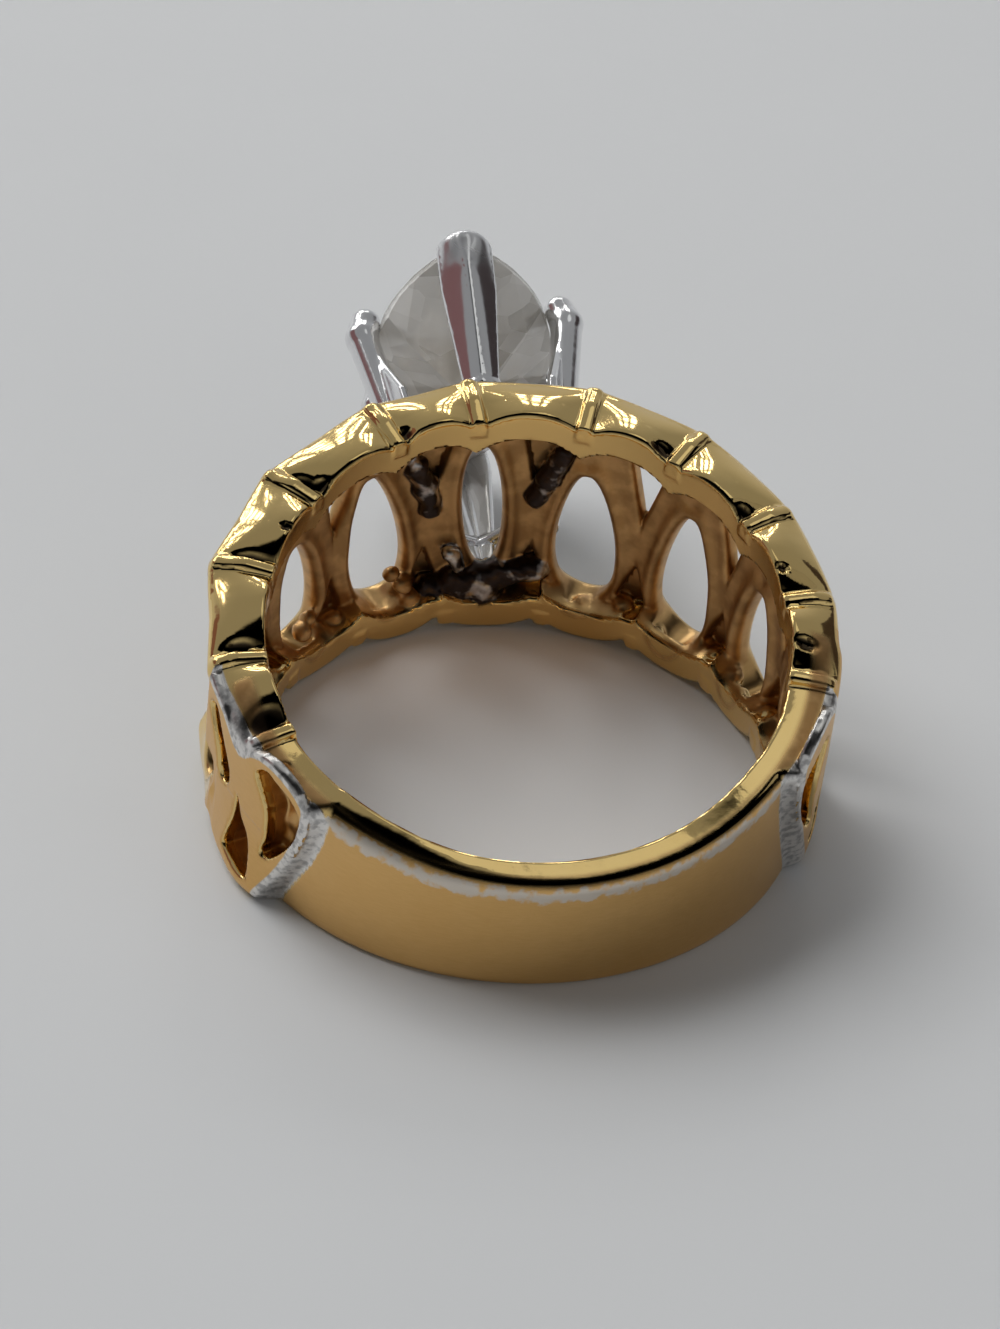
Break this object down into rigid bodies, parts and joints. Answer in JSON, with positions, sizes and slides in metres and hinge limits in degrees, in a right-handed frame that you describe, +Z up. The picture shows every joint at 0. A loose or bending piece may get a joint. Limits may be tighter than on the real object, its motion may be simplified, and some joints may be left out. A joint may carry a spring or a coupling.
{
  "type": "cubic zirconia ring",
  "caption": "Finger ring: openwork band with scalloped rims and a plain shank, and a marquise clear stone in a raised prong head.",
  "frame": {"origin": "where the axis of the finger hole meets the surface that the ring lies on", "axes": "+Z up from that surface, +Y horizontally towards the head and its stone, +X across the ring; the ring lies on its side"},
  "size_m": [0.0213, 0.0286, 0.0122],
  "materials": {
    "gold_plate": "polished yellow gold plate, satin and worn on the shank",
    "white_plate": "polished rhodium plate",
    "clear_stone": "faceted and polished"
  },
  "bodies": {
    "root": {"band": "gold_plate", "setting": "white_plate", "stone": "clear_stone"}
  },
  "joints": []
}
